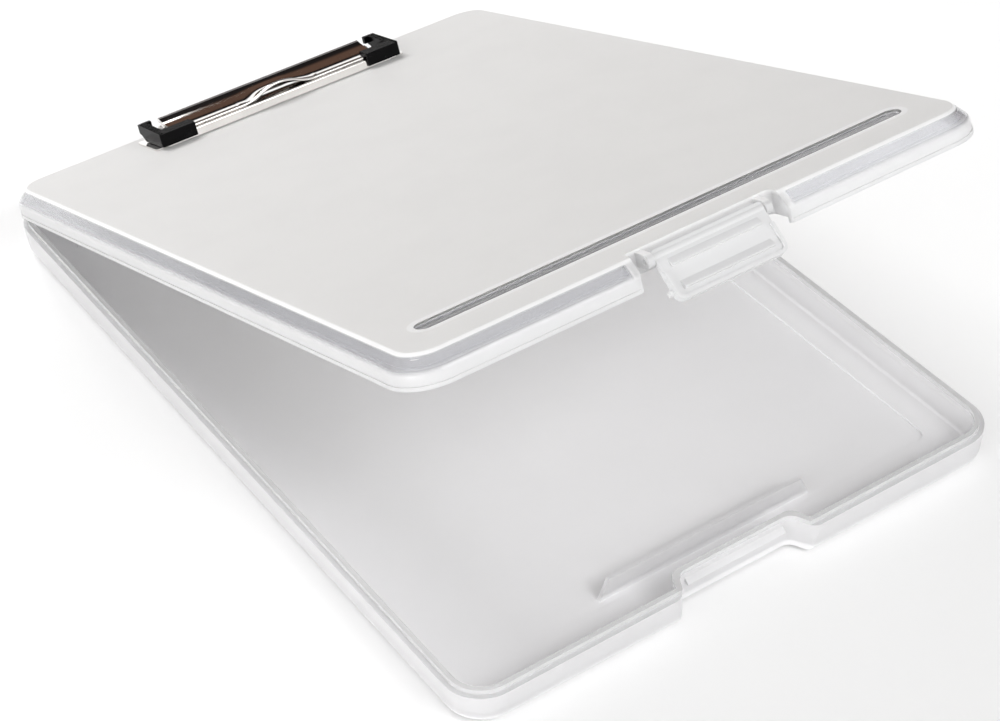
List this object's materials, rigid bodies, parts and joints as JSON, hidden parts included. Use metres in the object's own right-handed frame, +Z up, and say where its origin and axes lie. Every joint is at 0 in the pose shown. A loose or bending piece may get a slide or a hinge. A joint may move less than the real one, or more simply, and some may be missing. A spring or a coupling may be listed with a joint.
{
  "type": "storage clipboard box",
  "caption": "Flat translucent storage box with a hinged clipboard lid, a pencil groove, a swinging latch tab and a low chromed paper clip.",
  "frame": {"origin": "middle of the tray's foot on the table", "axes": "+Z up, +Y from the latch to the hinges, +X to the right seen from the latch"},
  "size_m": [0.238, 0.3465, 0.1429],
  "materials": {
    "tray_plastic": "frosted translucent",
    "lid_plastic": "frosted top, clear glossy skirt",
    "latch_plastic": "clear, softly frosted",
    "clip_chrome": "polished",
    "steel_wire": "bright drawn",
    "cap_black": "satin"
  },
  "bodies": {
    "tray": {"tray_shell": "tray_plastic", "hinge_pin_left": "steel_wire", "hinge_pin_right": "steel_wire"},
    "lid": {"lid_shell": "lid_plastic", "latch_pin": "latch_plastic", "clip_base_plate": "clip_chrome", "clip_pivot_rod": "steel_wire", "clip_rivets": "clip_chrome", "rivet_washers": "steel_wire", "clip_spring_left": "steel_wire", "clip_spring_right": "steel_wire"},
    "latch": {"latch_tab": "latch_plastic"},
    "clip": {"clip_lever": "clip_chrome", "clip_jaw_strip": "clip_chrome", "clip_cap_left": "cap_black", "clip_cap_right": "cap_black"}
  },
  "joints": [
    {"name": "lid_hinge", "type": "hinge", "parent": "tray", "child": "lid", "pos_m": [0, 0.172, 0.0136], "axis": [-1, 0, 0], "range_deg": [-20.65, 89.35]},
    {"name": "latch_hinge", "type": "hinge", "parent": "lid", "child": "latch", "pos_m": [0, -0.1422, 0.14003], "axis": [-1, 0, 0], "range_deg": [-36, 54]},
    {"name": "clip_hinge", "type": "hinge", "parent": "lid", "child": "clip", "pos_m": [0, 0.16063, 0.03306], "axis": [-1, 0, 0], "range_deg": [0, 35], "stiffness_Nm_per_rad": 0.05, "springref_deg": -57.3, "deforming": ["clip_spring_left", "clip_spring_right"]}
  ]
}
